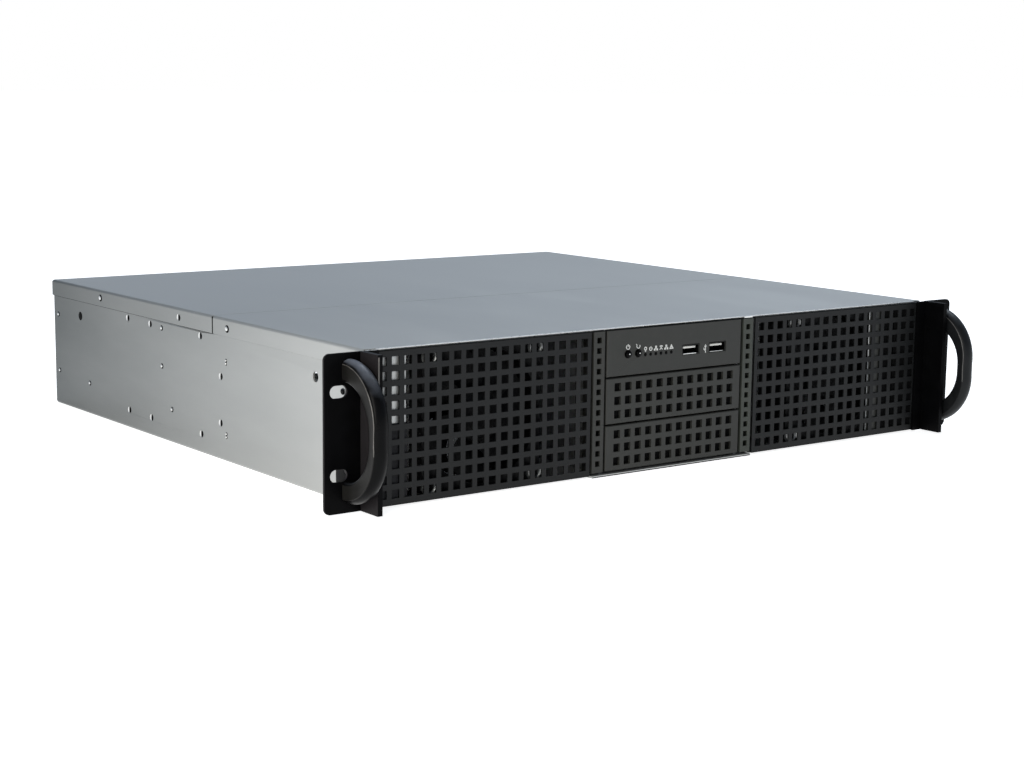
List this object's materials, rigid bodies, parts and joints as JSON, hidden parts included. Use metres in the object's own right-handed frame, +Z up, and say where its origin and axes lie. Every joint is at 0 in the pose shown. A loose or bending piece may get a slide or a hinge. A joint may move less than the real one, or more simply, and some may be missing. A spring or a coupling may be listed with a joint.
{
  "type": "rackmount server case",
  "caption": "Empty rackmount server case: galvanised chassis and covers, black perforated front with fans, drive bays, control panel, rack ears and bow handles.",
  "frame": {"origin": "centre of the rack ears' front face, midway between the four mounting slots", "axes": "+X to the right seen from the front, across the rack; +Y into the case; +Z up"},
  "size_m": [0.4826, 0.4381, 0.0864],
  "materials": {
    "galvanised_steel": "galvanised sheet, satin",
    "black_steel": "black powder coat, satin",
    "black_plastic": "moulded, fine satin",
    "fan_plastic": "moulded, satin",
    "circuit_board": "solder mask over laminate",
    "lamp_plastic": "milky light guide",
    "port_shell": "plated, bright",
    "port_tongue": "white moulding",
    "switch_plastic": "moulded",
    "brass": "turned, plain"
  },
  "bodies": {
    "case": {"chassis_tray": "galvanised_steel", "front_cover": "galvanised_steel", "rear_cover": "galvanised_steel", "cross_brace": "galvanised_steel", "rear_wall": "galvanised_steel", "slot_covers": "galvanised_steel", "psu_bracket": "galvanised_steel", "standoffs": "brass", "drive_cage": "galvanised_steel", "left_ear": "black_steel", "right_ear": "black_steel", "handles": "black_steel", "left_grille": "black_steel", "right_grille": "black_steel", "left_trim_strip": "black_steel", "right_trim_strip": "black_steel", "upper_bay_cover": "black_plastic", "lower_bay_cover": "black_plastic", "control_panel": "black_plastic", "tact_switches": "switch_plastic", "status_lights": "lamp_plastic", "usb_shells": "port_shell", "usb_tongues": "port_tongue", "control_board": "circuit_board", "left_fan_bracket": "galvanised_steel", "right_fan_bracket": "galvanised_steel", "fan_housings": "fan_plastic"},
    "left_fan_rotor": {"left_fan_rotor": "fan_plastic"},
    "power_button": {"power_button": "black_plastic"},
    "reset_button": {"reset_button": "black_plastic"},
    "right_fan_rotor": {"right_fan_rotor": "fan_plastic"}
  },
  "joints": [
    {"name": "power_button_press", "type": "slide", "parent": "case", "child": "power_button", "axis": [0, 1, 0], "range_m": [0, 0.0008], "stiffness_N_per_m": 500},
    {"name": "reset_button_press", "type": "slide", "parent": "case", "child": "reset_button", "axis": [0, 1, 0], "range_m": [0, 0.0008], "stiffness_N_per_m": 500},
    {"name": "left_fan_spin", "type": "hinge", "parent": "case", "child": "left_fan_rotor", "pos_m": [-0.13715, 0.0175, -0.0001], "axis": [0, 1, 0], "continuous": true},
    {"name": "right_fan_spin", "type": "hinge", "parent": "case", "child": "right_fan_rotor", "pos_m": [0.13715, 0.0175, -0.0001], "axis": [0, 1, 0], "continuous": true}
  ]
}
